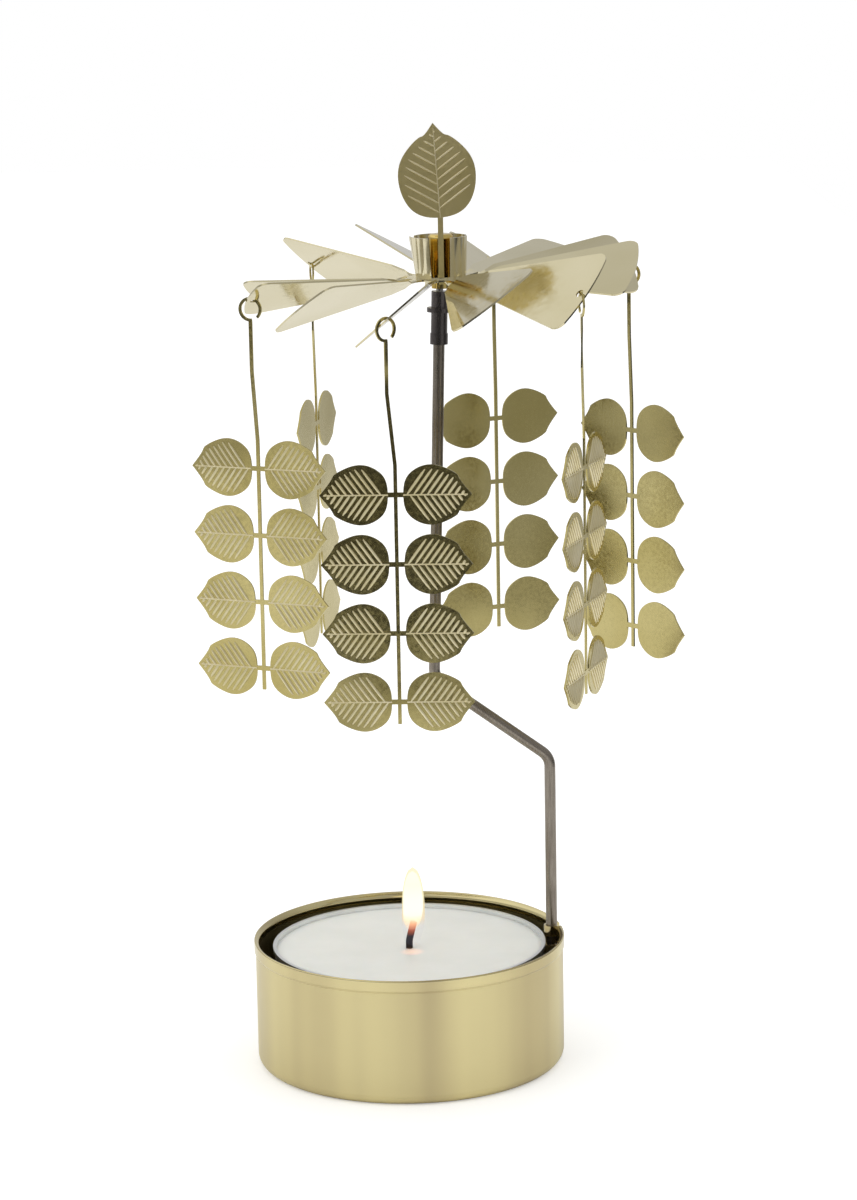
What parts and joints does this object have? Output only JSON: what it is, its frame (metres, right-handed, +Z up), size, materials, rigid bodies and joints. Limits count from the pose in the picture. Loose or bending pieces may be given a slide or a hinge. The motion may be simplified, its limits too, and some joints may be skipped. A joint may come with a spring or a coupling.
{
  "type": "rotary tealight carousel",
  "caption": "Tealight holder whose fan wheel turns on a needle in the candle's warm air and carries hanging strings of paired leaves around a bent steel mast.",
  "frame": {"origin": "middle of the tin's underside, on the surface it stands on", "axes": "+Z up, -Y is the front that the picture shows, +X to its right"},
  "size_m": [0.0688, 0.0592, 0.1342],
  "materials": {
    "tin_gold": "satin pale gold on sheet metal",
    "rod_steel": "drawn wire, dark satin",
    "sleeve_steel": "dark satin",
    "needle_steel": "ground point",
    "wheel_gold": "mirror polished pale gold",
    "cap_gold": "polished",
    "leaf_gold": "polished pale gold with pressed veins",
    "tealight_foil": "drawn foil",
    "plate_tin": "tinned sheet",
    "wax": "white paraffin wax, satin",
    "wick_cotton": "charred braided cotton"
  },
  "bodies": {
    "base": {"base_tin": "tin_gold"},
    "mast": {"support_rod": "rod_steel", "spindle_sleeve": "sleeve_steel", "spindle_collar": "sleeve_steel", "pivot_needle": "needle_steel"},
    "rotor": {"fan_wheel": "wheel_gold", "hub_crown": "wheel_gold", "bearing_cap": "cap_gold", "finial_leaf": "leaf_gold"},
    "tealight": {"tealight_cup": "tealight_foil", "wick_plate": "plate_tin", "candle_wax": "wax", "wick": "wick_cotton"},
    "string_1": {"leaf_string_1": "leaf_gold"},
    "string_2": {"leaf_string_2": "leaf_gold"},
    "string_3": {"leaf_string_3": "leaf_gold"},
    "string_4": {"leaf_string_4": "leaf_gold"},
    "string_5": {"leaf_string_5": "leaf_gold"},
    "string_6": {"leaf_string_6": "leaf_gold"}
  },
  "joints": [
    {"name": "rotor_spin", "type": "hinge", "parent": "mast", "child": "rotor", "pos_m": [0.00624, 0.00104, 0.1185], "axis": [0, 0, 1], "continuous": true},
    {"name": "mast_pull", "type": "slide", "parent": "base", "child": "mast", "axis": [0, 0, 1], "range_m": [0, 0.018]},
    {"name": "tealight_lift", "type": "slide", "parent": "base", "child": "tealight", "axis": [0, 0, 1], "range_m": [0, 0.02]},
    {"name": "string_1_swing", "type": "hinge", "parent": "rotor", "child": "string_1", "pos_m": [0.0327, 0.00704, 0.11199], "axis": [0.3535, 0.9354, 0], "range_deg": [-15, 15]},
    {"name": "string_2_swing", "type": "hinge", "parent": "rotor", "child": "string_2", "pos_m": [0.0142, 0.02691, 0.111], "axis": [-0.6334, 0.7738, 0], "range_deg": [-15, 15]},
    {"name": "string_3_swing", "type": "hinge", "parent": "rotor", "child": "string_3", "pos_m": [-0.01219, 0.02089, 0.11165], "axis": [-0.9869, -0.1616, 0], "range_deg": [-15, 15]},
    {"name": "string_4_swing", "type": "hinge", "parent": "rotor", "child": "string_4", "pos_m": [-0.02015, -0.00492, 0.10947], "axis": [-0.3535, -0.9354, 0], "range_deg": [-15, 15]},
    {"name": "string_5_swing", "type": "hinge", "parent": "rotor", "child": "string_5", "pos_m": [-0.00156, -0.02462, 0.10879], "axis": [0.6334, -0.7738, 0], "range_deg": [-15, 15]},
    {"name": "string_6_swing", "type": "hinge", "parent": "rotor", "child": "string_6", "pos_m": [0.02467, -0.01867, 0.11092], "axis": [0.9869, 0.1616, 0], "range_deg": [-15, 15]}
  ]
}
